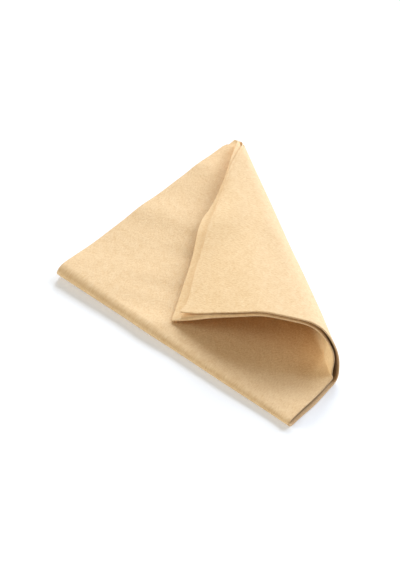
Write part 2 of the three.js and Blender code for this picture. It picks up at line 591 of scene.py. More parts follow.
    def rolled(self, x: Array, y: Array, height: Array, sheet: Sheet) -> Array:
        """Where points of a sheet lie once the corner is rolled.

        Args:
            x: Flat places along the main fold.
            y: Flat places from the main fold to the back.
            height: Heights above the underside of the stack.
            sheet: The sheet; the upper one runs ahead inside the lower one.

        Returns:
            Points in the row frame, with the shape of x and a last axis of 3.
        """
        base = self.pitch if sheet is Sheet.UPPER else 0.0
        flat = np.stack([x, y], axis=-1).reshape(-1, 2)
        slid = flat
        for _ in range(self.slide_rounds):
            side = self.line_through(slid)
            slide = [np.interp(side, self.sides, part) for part in self.slides.T]
            slid = flat - base * np.stack(slide, axis=1)
        side = self.line_through(slid)
        index = np.clip(np.searchsorted(self.sides, side) - 1, 0, self.steps - 1)
        share = (side - self.sides[index]) / (self.sides[1] - self.sides[0])
        turn = (np.clip(share, 0, 1) * self.turns[index])[:, None]
        axis, place = self.axes[index], self.places[index]
        local = np.concatenate([slid, np.reshape(height, (-1, 1))], axis=1) - place
        along = axis * np.sum(axis * local, axis=1, keepdims=True)
        local = place + along + (local - along) * np.cos(turn) + np.cross(axis, local) * np.sin(turn)
        placed = np.einsum("nij,nj->ni", self.turned[index], local) + self.moved[index]
        return placed.reshape(*x.shape, 3) + self.corner

    def puff(self, x: Array) -> Array:
        """How far the sheet is puffed by the side fold, from 1 at the fold to 0."""
        return hump(self.length - x, self.sizes.fold_reach)

    def heights(self, x: Array, y: Array, lean: Array, sheet: Sheet) -> Array:
        """Height of the middle of a leaf above the underside of the stack.

        Args:
            x: Flat places along the main fold.
            y: Flat places from the main fold to the back.
            lean: 1 on the outer leaf of the sheet, -1 on the inner one, and between them round the fold.
            sheet: The sheet that the leaf belongs to.

        Returns:
            Heights in metres.
        """
        s, form = self.sizes, self.roll_form
        puff = self.puff(x)
        half = s.leaf_pitch / 2 + (s.fold_radius - s.leaf_pitch / 2) * puff
        middle = s.leaf / 2 + half
        rolled = smooth(-self.before_first(x, y), 0, form.start)
        dent = rolled * (form.creases.at(x, y) - self.edge_buckle(x, y)) + self.draw_in(x, y)
        if sheet is Sheet.LOWER:
            flare = form.flare * rolled * np.exp((y - self.depth) / form.flare_reach)
            return middle - lean * half + dent - flare
        open_side = puff * fade(y, *form.fold_closing)
        gap = s.sheet_gap + (s.fold_gap - s.sheet_gap) * open_side
        in_roll = smooth(self.line_at(x, y), *form.air_lines)
        gap = gap + form.air * in_roll * np.exp((y - self.depth) / form.air_reach)
        level = middle + 2 * half + s.leaf + gap + lean * half
        return level + dent + self.bed_lift(x, y) + self.corner_fill(x, y)

    def bed_lift(self, x: Array, y: Array) -> Array:
        """How far the upper sheet stands off the lower one on the bed.

        Args:
            x: Flat places along the main fold.
            y: Flat places from the main fold to the back.

        Returns:
            The springy lift towards the loose corner, the ripples of the loose edge and soft waves.
        """
        form = self.bed_form
        on_bed = np.maximum(self.before_first(x, y), 0)
        full = float(self.before_first(0.0, 0.0))
        lift = self.sizes.corner_lift * on_bed**2 / (on_bed + form.easing) * (full + form.easing) / full**2
        least = form.spring_least
        spring = form.spring.at(y) * (least + (1 - least) * np.exp(-x / form.spring_fade))
        along = y - form.ripple_lean * x
        ripple = sum(r.at(along) for r in form.ripples) * np.exp(-x / form.ripple_fade)
        creases = np.maximum(form.creases.at(x, y) + form.crease_base, 0)
        return lift + smooth(on_bed, 0, form.start) * (spring + ripple + creases)

    def wide(self, x: Array) -> Array:
        """How far flat places lie from the cone's tip, as a share of the folded side's distance."""
        return (x - self.tip[0]) / (self.length - self.tip[0])

    def line_at(self, x: Array, y: Array) -> Array:
        """Where the straight line from the cone's tip through a flat place crosses the folded side."""
        return self.tip[1] - (self.tip[1] - y) / self.wide(x)

    def draw_in(self, x: Array, y: Array) -> Array:
        """How far the roll is drawn in from its creases, so that it opens flat.

        Args:
            x: Flat places along the main fold.
            y: Flat places from the main fold to the back.

        Returns:
            Heights added to both sheets.
        """
        form = self.roll_form
        side = self.line_at(x, y)
        grown = 1 - np.exp(-np.maximum(side - form.drawn_from, 0) / form.drawn_growth)
        return form.drawn * self.wide(x) * grown * fade(side, *form.drawn_until)

    def edge_buckle(self, x: Array, y: Array) -> Array:
        """How far the cut edge of the flap buckles up half way along."""
        return self.roll_form.buckle.at(x) * hump(self.depth - y, self.roll_form.buckle_reach)

    def corner_fill(self, x: Array, y: Array) -> Array:
        """How far the upper sheet cuts the corner where it turns up at the side of the mouth.

        Args:
            x: Flat places along the main fold.
            y: Flat places from the main fold to the back.

        Returns:
            Heights of a rounded facet beside the fold, with two short creases.
        """
        form = self.roll_form
        inward = self.length - x
        first = self.bends[0].side
        along = y - inward * float(self.slope(first)) - first
        facet = form.facet.at(along) * fade(inward, *form.facet_until)
        return facet + form.nick.at(along) * sum(place.at(inward) for place in form.nick_places)


@dataclass
class Strip:
    """A piece of one doubled sheet between two lines from the cone's tip.

    Attributes:
        quarter: The shape of the folded cloth.
        name: Name of the piece.
        sheet: The doubled sheet that it is cut from.
        start: Where its first line crosses the folded side.
        end: Where its last line crosses the folded side.
        rows: How many rows of faces it has between those lines.
        fold_steps: Steps of faces round half of the side fold.
        leaf_steps: Steps of faces from the side fold to the cut edge.
        crowding: How much closer those steps stand towards the fold.
        fold_form: Form of the side folds.
        cut_form: Form of the cut edges.
        crevice: Painted shade in the crevice between the side folds.
    """

    quarter: FoldedQuarter
    name: str
    sheet: Sheet
    start: float
    end: float
    rows: int
    fold_steps: int = 6
    leaf_steps: int = 72
    crowding: float = 1.6
    fold_form: FoldForm = field(default_factory=FoldForm)
    cut_form: CutForm = field(default_factory=CutForm)
    crevice: PaintedCreviceShade = field(default_factory=PaintedCreviceShade)

    def reach(self, side: Array, around: Array) -> Array:
        """How far a leaf runs in x from the folded side to its cut edge.

        Args:
            side: Where the leaf's lines cross the folded side.
            around: Signed steps round the sheet, whose sign tells the leaf.

        Returns:
            Distances in x, along lines of the roll.
        """
        q = self.quarter
        crossing, slope = self.crossing(side), q.slope(side)
        back = q.length - (q.depth - crossing) / slope
        back_trim = self.back_trim(back, around) / slope
        loose_trim = self.loose_trim(crossing + q.length * slope, around)
        return q.length - np.maximum(back, 0) - np.where(back > 0, back_trim, loose_trim)

    def crossing(self, side: Array) -> Array:
        """Where lines of the roll cross this sheet's own folded side."""
        return side if self.sheet is Sheet.LOWER else side - self.quarter.ahead(side)

    def back_trim(self, back: Array, around: Array) -> Array:
        """How far the back cut edge of a leaf falls short.

        Args:
            back: Places along the back edge, from the loose back corner.
            around: Signed steps round the sheet, whose sign tells the leaf.

        Returns:
            Distances in y.
        """
        form = self.cut_form
        if self.sheet is Sheet.UPPER:
            edge = sum(swell.at(back) for swell in form.upper_edge)
            blunt = form.blunt * self.quarter.slope(0.0) * fade(back, 0, form.blunt_from)
            return np.where(around > 0, form.upper_step, 0) - edge + blunt
        edge = sum(swell.at(back) for swell in form.lower_edge)
        step = form.lower_step * fade(back, *form.lower_step_until)
        return np.where(around > 0, step, 0) - edge

    def loose_trim(self, loose: Array, around: Array) -> Array:
        """How far the loose cut edge of a leaf falls short.

        Args:
            loose: Places along the loose edge, from the main fold.
            around: Signed steps round the sheet, whose sign tells the leaf.

        Returns:
            Distances in x.
        """
        form, depth = self.cut_form, self.quarter.depth
        if self.sheet is Sheet.LOWER:
            return np.where(around > 0, *form.lower_loose)
        blunt = form.blunt * smooth(loose, depth - form.blunt_from, depth - form.blunt_full)
        return np.where(around > 0, *form.upper_loose) + blunt

    def around(self) -> Array:
        """Signed steps round the sheet, from the cut edge of one leaf, by the fold, to that of the other."""
        return mirrored_steps(self.fold_steps, self.leaf_steps, self.crowding)

    def leaf_places(self, around: Array, side: Array) -> tuple:
        """Flat places and lean of points round the sheet.

        Args:
            around: Signed steps round the sheet.
            side: Where the points' lines cross the folded side.

        Returns:
            x, y and lean arrays.
        """
        crossing = self.crossing(side)
        x, lean = self.across(around, self.reach(side, around), crossing)
        y = crossing + (self.quarter.length - x) * self.quarter.slope(side)
        return x, y, lean

    def across(self, around: Array, reach: Array, side: Array) -> tuple:
        """Flat x and lean of points round the sheet.

        Args:
            around: Signed steps round the sheet.
            reach: How far the leaf runs from the folded side.
            side: Where the points' lines cross the folded side.

        Returns:
            x and lean arrays.
        """
        s = self.quarter.sizes
        step = np.abs(around)
        angle = np.clip(step, 0, 1) * math.pi / 2
        short = s.leaf / 2 + s.fold_radius - self.bow(side)
        run = np.clip(step - 1, 0, None) * (reach - short)
        x = self.quarter.length - short + s.fold_radius * np.cos(angle) - run
        return x, np.sign(around) * np.sin(angle)

    def bow(self, side: Array) -> Array:
        """How far the side fold stands out beyond the quarter's length.

        Args:
            side: Places along the folded side.

        Returns:
            Distances in x.
        """
        form = self.fold_form
        belly = form.belly.at(side)
        if self.sheet is Sheet.UPPER:
            return belly - self.quarter.sizes.fold_inset * fade(side, *form.inset_until)
        top = form.top * smooth(side, *form.top_from) * fade(side, *form.top_until)
        return belly + top + form.front.at(side)

    def surface(self, around: Array, side: Array) -> Array:
        """Points of the middle of the leaves."""
        x, y, lean = self.leaf_places(around, side)
        return self.quarter.rolled(x, y, self.quarter.heights(x, y, lean, self.sheet), self.sheet)

    def grid(self) -> tuple:
        """The piece's own grid of places round the sheet and along the folded side."""
        sides = np.linspace(self.start, self.end, self.rows + 1)
        return np.meshgrid(self.around(), sides, indexing="ij")

    def cloth_places(self, around: Array, side: Array) -> Array:
        """Where points lie on the open cloth, for its grain.

        Args:
            around: Signed steps round the sheet.
            side: Where the points' lines cross the folded side.

        Returns:
            Places from the middle of the cloth's map, with a last axis of 2.
        """
        x, y, _ = self.leaf_places(around, side)
        across = np.where(around < 0, -1, 1) * (self.quarter.length - x)
        return np.stack([across, y if self.sheet is Sheet.UPPER else -y], axis=-1)

    def shade(self, around: Array, side: Array) -> Array:
        """How strongly points are painted with shade in the crevice between the side folds."""
        return self.crevice.depth(around) * self.crevice.share(side)

    def flat_area(self) -> float:
        """Area of the piece on the open cloth.

        Returns:
            The sum of its faces on the cloth's map, in square metres.
        """
        places = self.cloth_places(*self.grid())
        one = places[1:, 1:] - places[:-1, :-1]
        other = places[:-1, 1:] - places[1:, :-1]
        return float(np.abs(one[..., 0] * other[..., 1] - one[..., 1] * other[..., 0]).sum() / 2)

    def flat_size(self) -> Span:
        """Size of the piece on the open cloth.

        Returns:
            Its width across and its length along its first line.
        """
        slope = float(self.quarter.slope(self.start))
        reach = float(self.reach(np.array([self.start]), np.ones(1))[0])
        steep = math.hypot(1.0, slope)
        return (self.end - self.start) / steep, 2 * reach * steep

    def build(self) -> bpy.types.Object:
        """Make the piece as a closed sheet of cloth.

        Returns:
            The new object.
        """
        grid = self.grid()
        mesh = cloth_mesh(self.name, self.surface, grid, self.quarter.sizes.leaf)
        map_cloth(mesh, self.cloth_places(*grid), self.shade(*grid))
        obj = bpy.data.objects.new(self.name, mesh)
        bpy.context.scene.collection.objects.link(obj)
        return obj


@dataclass
class Bed(Strip):
    """The flat part of the quarter, in one piece: four leaves with the main fold and the side folds.

    Its places run round the side folds, and in rows from the lower sheet round the main fold to the upper.

    Attributes:
        bank_rows: Rows of faces from the main fold to the first line of the roll, on each half.
        fold_rows: Rows of faces round half of the main fold.
        fold_crowding: How much closer the rows stand towards the main fold.
        round_in: How far the rounding of the main fold runs in, as a share of its half height.
    """

    bank_rows: int = 60
    fold_rows: int = 10
    fold_crowding: float = 1.5
    round_in: float = 0.7

    def grid(self) -> tuple:
        """The bed's own grid of places round the side folds and round the main fold."""
        rows = mirrored_steps(self.fold_rows, self.bank_rows, self.fold_crowding)
        return np.meshgrid(self.around(), rows, indexing="ij")

    def flat_places(self, around: Array, row: Array) -> tuple:
        """Flat places and lean of points of the bed.

        Args:
            around: Signed steps round the side folds.
            row: Signed steps round the main fold.

        Returns:
            x, y and lean arrays, with y counted on past the main fold as 0.
        """
        q = self.quarter
        share = np.clip(np.abs(row) - 1, 0, None)
        loose = share * (self.end + q.length * q.slope(self.end))
        side = share * self.end
        top = Strip(q, self.name, Sheet.UPPER, self.start, self.end, self.rows)
        lower_x, lean = self.across(around, q.length - self.loose_trim(loose, around), side)
        upper_x, _ = top.across(around, q.length - top.loose_trim(loose, around), side)
        x = lower_x + (upper_x - lower_x) * smooth(row, -1, 1)
        y = share * (self.end + (q.length - x) * q.slope(self.end))
        return x, y + (1 - share) * self.round_in * self.half_height(x, np.zeros_like(x), lean), lean

    def half_height(self, x: Array, y: Array, lean: Array) -> Array:
        """Half of the height between the matching leaves of the two sheets."""
        q = self.quarter
        return (q.heights(x, y, lean, Sheet.UPPER) - q.heights(x, y, lean, Sheet.LOWER)) / 2

    def surface(self, around: Array, row: Array) -> Array:
        """Points of the middle of the leaves.

        Args:
            around: Signed steps round the side folds.
            row: Signed steps round the main fold.

        Returns:
            Points in the row frame, with a last axis of 3.
        """
        q = self.quarter
        x, y, lean = self.flat_places(around, row)
        half = self.half_height(x, y, lean)
        angle = np.clip(np.abs(row), 0, 1) * math.pi / 2
        height = q.heights(x, y, lean, Sheet.LOWER) + half + np.sign(row) * half * np.sin(angle)
        points = np.stack([x, y - (1 + self.round_in) * half * np.cos(angle), height], axis=-1)
        return points + q.corner

    def cloth_places(self, around: Array, row: Array) -> Array:
        """Where points lie on the open cloth, for its grain.

        Args:
            around: Signed steps round the side folds.
            row: Signed steps round the main fold.

        Returns:
            Places from the middle of the cloth's map, with a last axis of 2.
        """
        x, y, _ = self.flat_places(around, row)
        across = np.where(around < 0, -1, 1) * (self.quarter.length - x)
        bend = np.clip(np.abs(row), 0, 1) * self.quarter.sizes.corner_lift
        return np.stack([across, np.sign(row) * (y + bend)], axis=-1)

    def shade(self, around: Array, row: Array) -> Array:
        """How strongly points are painted with shade in the crevice between the side folds: the same all
        along the bed.
        """
        return self.crevice.depth(around) * np.ones_like(row)


def mirrored_steps(arc_steps: int, flat_steps: int, crowding: float) -> Array:
    """Signed steps from one edge of a folded sheet, by its fold, to the other edge.

    Args:
        arc_steps: Steps round half of the fold.
        flat_steps: Steps from the fold to an edge.
        crowding: How much closer those steps stand towards the fold.

    Returns:
        Steps from -2 to 2: up to 1 they are a share of the fold's arc, and beyond it a share of the rest.
    """
    arc = np.linspace(0, 1, arc_steps + 1)[:-1]
    flat = 1 + np.linspace(0, 1, flat_steps + 1) ** crowding
    half = np.concatenate([arc, flat])
    return np.concatenate([-half[:0:-1], half])


def leaf_normals(surface: SurfaceMap, u: Array, v: Array) -> Array:
    """Unit normals of a surface.

    Args:
        surface: Function of two arrays that gives points of the surface.
        u: First coordinate of the grid.
        v: Second coordinate of the grid.

    Returns:
        Normals with a last axis of 3.
    """
    step = NORMAL_PROBE * min(1.0, float(np.ptp(v)))
    along = surface(u + NORMAL_PROBE, v) - surface(u - NORMAL_PROBE, v)
    across = surface(u, v + step) - surface(u, v - step)
    normal = np.cross(along, across)
    return normal / np.linalg.norm(normal, axis=-1, keepdims=True)


def rim_faces(near: Array, far: Array) -> Array:
    """Faces that close the rim between two rows of vertices."""
    return np.stack([near[:-1], near[1:], far[1:], far[:-1]], axis=-1)


def sheet_faces(rows: int, columns: int) -> tuple:
    """Faces of a closed sheet over a grid.

    Args:
        rows: Points of the grid along its first coordinate.
        columns: Points along its second one.

    Returns:
        The faces of both broad sides, of the rims at the cut edges, and of the rims at the seams.
    """
    index = np.arange(rows * columns).reshape(rows, columns)
    behind = index + index.size
    corners = [index[:-1, :-1], index[1:, :-1], index[1:, 1:], index[:-1, 1:]]
    quad = np.stack(corners, axis=-1).reshape(-1, 4)
    broad = np.concatenate([quad, quad[:, ::-1] + index.size])
    cut = [rim_faces(index[0], behind[0]), rim_faces(index[-1][::-1], behind[-1][::-1])]
    seams = [rim_faces(index[:, 0][::-1], behind[:, 0][::-1]), rim_faces(index[:, -1], behind[:, -1])]
    return broad, np.concatenate(cut), np.concatenate(seams)


def cloth_mesh(name: str, surface: SurfaceMap, grid: tuple, thickness: float) -> bpy.types.Mesh:
    """A closed sheet of cloth round a middle surface.

    Args:
        name: Name of the mesh.
        surface: Function of two arrays that gives points of the middle surface.
        grid: The two coordinates of the grid.
        thickness: Thickness of the cloth.

    Returns:
        The new mesh, whose faces are set to the first material slot and its cut edges to the second.
    """
    middle, normal = surface(*grid), leaf_normals(surface, *grid)
    sides = [middle + normal * thickness / 2, middle - normal * thickness / 2]
    broad, cut, seams = sheet_faces(*middle.shape[:2])
    faces = np.concatenate([broad, cut, seams])
    mesh = bpy.data.meshes.new(name)
    mesh.from_pydata(np.concatenate(sides).reshape(-1, 3).tolist(), [], faces.tolist())
    slots = np.full(len(faces), Edge.FACE.value, np.int32)
    slots[len(broad) : len(broad) + len(cut)] = Edge.CUT.value
    mesh.polygons.foreach_set("material_index", slots)
    mesh.polygons.foreach_set("use_smooth", np.arange(len(faces)) < len(broad))
    mesh.update()
    flat = np.zeros(len(faces) * 3, np.float32)
    mesh.polygons.foreach_get("normal", flat)
    vertex_normals = np.concatenate([normal, -normal]).reshape(-1, 3)
    loop_normals = vertex_normals[faces.reshape(-1)].reshape(len(faces), 4, 3)
    loop_normals[len(broad) :] = flat.reshape(-1, 1, 3)[len(broad) :]
    mesh.normals_split_custom_set(loop_normals.reshape(-1, 3).tolist())
    return mesh


def map_cloth(mesh: bpy.types.Mesh, places: Array, shade: Array) -> None:
    """Give a sheet its map of the open cloth and its mask of painted shade in the crevice.

    Args:
        mesh: A closed sheet of cloth.
        places: Where the points of its grid lie on the open cloth.
        shade: How strongly they are painted with shade in the crevice between the side folds.
    """
    corners = np.zeros(len(mesh.loops), np.int32)
    mesh.loops.foreach_get("vertex_index", corners)
    flat = places.reshape(-1, 2)[corners % shade.size].astype(np.float32)
    mesh.uv_layers.new(name=CLOTH_MAP).data.foreach_set("uv", flat.ravel())
    painted_shade_mask = mesh.attributes.new(PAINTED_SHADE_MASK, "FLOAT", "POINT")
    painted_shade_mask.data.foreach_set("value", np.tile(shade.ravel(), 2).astype(np.float32))


def fill(tree: Tree, node: Node, inputs: dict) -> None:
    """Set the inputs of a node.

    Args:
        tree: The tree that holds the node.
        node: The node.
        inputs: Plain values, or the sockets that feed the inputs, by the inputs' names or numbers.
    """
    for name, value in inputs.items():
        if isinstance(value, Socket):
            tree.links.new(value, node.inputs[name])
        else:
            node.inputs[name].default_value = value


def add_node(tree: Tree, kind: str, inputs: dict) -> Node:
    """Add a node to a tree.

    Args:
        tree: The tree.
        kind: Kind of the node.
        inputs: Its inputs, as fill takes them.

    Returns:
        The new node.
    """
    node = tree.nodes.new(kind)
    fill(tree, node, inputs)
    return node


def place_group(tree: Tree, group: Tree, inputs: dict) -> Node:
    """Place a node group in a material.

    Args:
        tree: The material's tree.
        group: The group.
        inputs: Its inputs, as fill takes them.

    Returns:
        The group's node.
    """
    node = tree.nodes.new("ShaderNodeGroup")
    node.node_tree = group
    fill(tree, node, inputs)
    return node


def mix_colours(tree: Tree, share: Socket, first: object, second: object) -> Socket:
    """Mix two colours.

    Args:
        tree: The tree.
        share: Socket that gives the share of the second colour.
        first: The first colour, or a socket that gives it.
        second: The second colour, or a socket that gives it.

    Returns:
        The socket of the mixed colour.
    """
    node = tree.nodes.new("ShaderNodeMix")
    node.data_type = "RGBA"
    fill(tree, node, {"Factor": share, "A": first, "B": second})
    return node.outputs["Result"]


def calculate(tree: Tree, operation: str, *values: object) -> Socket:
    """Calculate with numbers or sockets.

    Args:
        tree: The tree.
        operation: Name of the operation.
        values: What it works on, in order.

    Returns:
        The socket of the result.
    """
    node = tree.nodes.new("ShaderNodeMath")
    node.operation = operation
    fill(tree, node, dict(enumerate(values)))
    return node.outputs[0]


def flat_noise(tree: Tree, vector: Socket, scale: Socket, detail: float) -> Socket:
    """Noise over flat places.

    Args:
        tree: The tree.
        vector: Socket of the places.
        scale: Socket of the scale.
        detail: Detail of the noise.

    Returns:
        The socket of the noise's value.
    """
    node = tree.nodes.new("ShaderNodeTexNoise")
    node.noise_dimensions = "2D"
    fill(tree, node, {"Vector": vector, "Scale": scale, "Detail": detail})
    return node.outputs["Fac"]


def show_camera(tree: Tree, lit: Socket, seen: Socket, output: Node) -> None:
    """Show the camera another shader than the one that takes part in the light.

    Args:
        tree: The tree of a material or of the world.
        lit: Socket of the shader that takes part in the light.
        seen: Socket of the shader that the camera sees.
        output: The tree's output node.
    """
    path = tree.nodes.new("ShaderNodeLightPath")
    mix = add_node(tree, "ShaderNodeMixShader", {"Fac": path.outputs["Is Camera Ray"], 1: lit, 2: seen})
    fill(tree, output, {"Surface": mix.outputs["Shader"]})


def new_group(name: str, inputs: dict[str, str], outputs: dict[str, str]) -> Tree:
    """A shader node group with named sockets.

    Args:
        name: Name of the group.
        inputs: Kinds of its inputs by name.
        outputs: Kinds of its outputs by name.

    Returns:
        The group, with its input and output nodes.
    """
    group = bpy.data.node_groups.new(name, "ShaderNodeTree")
    for direction, sockets in (("INPUT", inputs), ("OUTPUT", outputs)):
        for socket, kind in sockets.items():
            group.interface.new_socket(socket, in_out=direction, socket_type=f"NodeSocket{kind}")
    group.nodes.new("NodeGroupInput")
    group.nodes.new("NodeGroupOutput")
    return group


@dataclass(frozen=True)
class Nap:
    """The brushed nap: tufts that lie two ways, on thicker and thinner places.

    Attributes:
        name: Name of its node group.
        headings: The two ways that the tufts lie, in radians.
        stretch: Width of a tuft as a share of its length.
        tuft_detail: Detail of the tufts.
        mottle_detail: Detail of the thicker and thinner places.
        mottle_share: Share of those places in the height.
        shades: Heights that come out dark and light.
    """

    name: str = "brushed nap"
    headings: Span = (0.6, -0.9)
    stretch: float = 0.4
    tuft_detail: float = 2.0
    mottle_detail: float = 3.0
    mottle_share: float = 0.7
    shades: Span = (0.9, 1.8)

    def group(self) -> Tree:
        """The nap as a node group, made once.

        Returns:
            A group with the inputs Fibre and Mottle and the outputs Shade and Height.
        """
        if self.name in bpy.data.node_groups:
            return bpy.data.node_groups[self.name]
        inputs = {"Fibre": "Float", "Mottle": "Float"}
        group = new_group(self.name, inputs, {"Shade": "Float", "Height": "Float"})
        source = group.nodes["Group Input"].outputs
        place = group.nodes.new("ShaderNodeUVMap")
        place.uv_map = CLOTH_MAP
        flat = place.outputs["UV"]
        tufts = []
        for heading in self.headings:
            turned = {"Vector": flat, "Rotation": (0.0, 0.0, heading), "Scale": (1.0, self.stretch, 1.0)}
            lie = add_node(group, "ShaderNodeMapping", turned).outputs["Vector"]
            tufts.append(flat_noise(group, lie, source["Fibre"], self.tuft_detail))
        mottle = flat_noise(group, flat, source["Mottle"], self.mottle_detail)
        fine = calculate(group, "ADD", *tufts)
        height = calculate(group, "MULTIPLY_ADD", mottle, self.mottle_share, fine)
        dark, light = self.shades
        spread = {"Value": height, "From Min": dark, "From Max": light}
        shade = add_node(group, "ShaderNodeMapRange", spread).outputs["Result"]
        fill(group, group.nodes["Group Output"], {"Shade": shade, "Height": height})
        return group


def painted_shade_group() -> Tree:
    """Painted shade in the crevice between the side folds as a node group, made once.

    Returns:
        A group with an input for the colour, one for the colour of the painted shade and one for its share,
        and the output Colour.
    """
    name = "fold crevice"
    if name in bpy.data.node_groups:
        return bpy.data.node_groups[name]
    group = new_group(name, {"Colour": "Color", "Painted Shade": "Color", "Share": "Float"}, {"Colour": "Color"})
    source = group.nodes["Group Input"].outputs
    painted_shade_mask = group.nodes.new("ShaderNodeAttribute")
    painted_shade_mask.attribute_name = PAINTED_SHADE_MASK
    # Painted shade: the mask mixes a dark colour into the cloth's colour along the crevice.
    depth = calculate(group, "MULTIPLY", painted_shade_mask.outputs["Fac"], source["Share"])
    colour = mix_colours(group, depth, source["Colour"], source["Painted Shade"])
    fill(group, group.nodes["Group Output"], {"Colour": colour})
    return group


@dataclass(frozen=True)
class BrushedCloth:
    """The finish of the cloth: a tan non-woven with a short brushed nap, with painted shade in the crevice
    between the side folds.

    Attributes:
        name: Name of the material.
        dark: Colour between the fibres.
        light: Colour of the raised fibres.
        painted_shade_colour: Colour of the painted shade in the crevice between the side folds.
        painted_shade_share: Share of the painted shade colour where the shade is strongest.
        fibre: Width of a fibre tuft.
        mottle: Size of the thicker and thinner places.
        bump: Strength of the nap's bump.
        roughness: Roughness of the fibres.
        specular: Strength of their gloss.
        sheen: Weight of the nap's sheen.
        sheen_roughness: Roughness of that sheen.
    """

    name: str = "brushed tan cloth"
    dark: Colour = (0.833, 0.565, 0.300, 1.0)
    light: Colour = (0.975, 0.730, 0.455, 1.0)
    # Painted shade colour for the crevice between the side folds.
    painted_shade_colour: Colour = (0.16, 0.09, 0.04, 1.0)
    painted_shade_share: float = 0.6
    fibre: float = 0.0008
    mottle: float = 0.005
    bump: float = 0.24
    roughness: float = 0.92
    specular: float = 0.15
    sheen: float = 0.20
    sheen_roughness: float = 0.5

    def material(self) -> bpy.types.Material:
        """Make the material.

        Returns:
            A node material that reads the cloth's own map and its mask of painted shade.
        """
        material = bpy.data.materials.new(self.name)
        material.use_nodes = True
        tree = material.node_tree
        scales = {"Fibre": 1 / self.fibre, "Mottle": 1 / self.mottle}
        nap = place_group(tree, Nap().group(), scales).outputs
        tan = mix_colours(tree, nap["Shade"], self.dark, self.light)
        # Painted shade: a dark colour mixed into the tan along the crevice between the side folds.
        tones = {"Colour": tan, "Painted Shade": self.painted_shade_colour, "Share": self.painted_shade_share}
        crevice = place_group(tree, painted_shade_group(), tones)
        raised = {"Strength": self.bump, "Distance": self.fibre, "Height": nap["Height"]}
        bump = add_node(tree, "ShaderNodeBump", raised)
        finish = {
            "Base Color": crevice.outputs["Colour"],
            "Roughness": self.roughness,
            "Specular IOR Level": self.specular,
            "Sheen Weight": self.sheen,
            "Sheen Roughness": self.sheen_roughness,
            "Normal": bump.outputs["Normal"],
        }
        fill(tree, tree.nodes["Principled BSDF"], finish)
        return material


@dataclass(frozen=True)
class RawEdgeWithPaintedShade(BrushedCloth):
    """The finish of the cut edges: the same cloth with its fibres end on, darker still as painted shade for
    the shadow line along the edges.
    """

    name: str = "raw cut edge with painted shade"
    # Painted shade: darker than the fibres' own end-on tone, for the shadow line along the cut edges.
    dark: Colour = (0.58, 0.38, 0.20, 1.0)
    light: Colour = (0.76, 0.55, 0.33, 1.0)
    fibre: float = 0.0005
    bump: float = 0.2


def direction(turn: float, height: float) -> Vector:
    """Direction by its bearing from +X to +Y and its height above the horizon, both in degrees."""
    turn, height = math.radians(turn), math.radians(height)
    return Vector((math.cos(turn) * math.cos(height), math.sin(turn) * math.cos(height), math.sin(height)))


def put_in_scene(name: str, data: bpy.types.ID) -> bpy.types.Object:
    """Put a mesh, a camera or a lamp into the scene.

    Args:
        name: Name of the object.
        data: What it shows.

    Returns:
        The new object, turned by a quaternion.
    """
    obj = bpy.data.objects.new(name, data)
    obj.rotation_mode = "QUATERNION"
    bpy.context.scene.collection.objects.link(obj)
    return obj


@dataclass(frozen=True)
class Lamp:
    """A soft lamp.

    Attributes:
        name: Name of the lamp.
        turn: Bearing towards it in degrees, from +X to +Y.
        height: Height above the horizon in degrees.
        strength: Its strength.
        colour: Its colour.
        softness: Its width in degrees.
    """

    name: str
    turn: float
    height: float
    strength: float
    colour: Colour
    softness: float = 30.0

    def hang(self) -> None:
        """Put the lamp into the scene."""
        data = bpy.data.lights.new(self.name, "SUN")
        data.energy = self.strength
        data.color = self.colour
        data.angle = math.radians(self.softness)
        obj = put_in_scene(self.name, data)
        obj.rotation_quaternion = direction(self.turn, self.height).to_track_quat("Z", "Y")


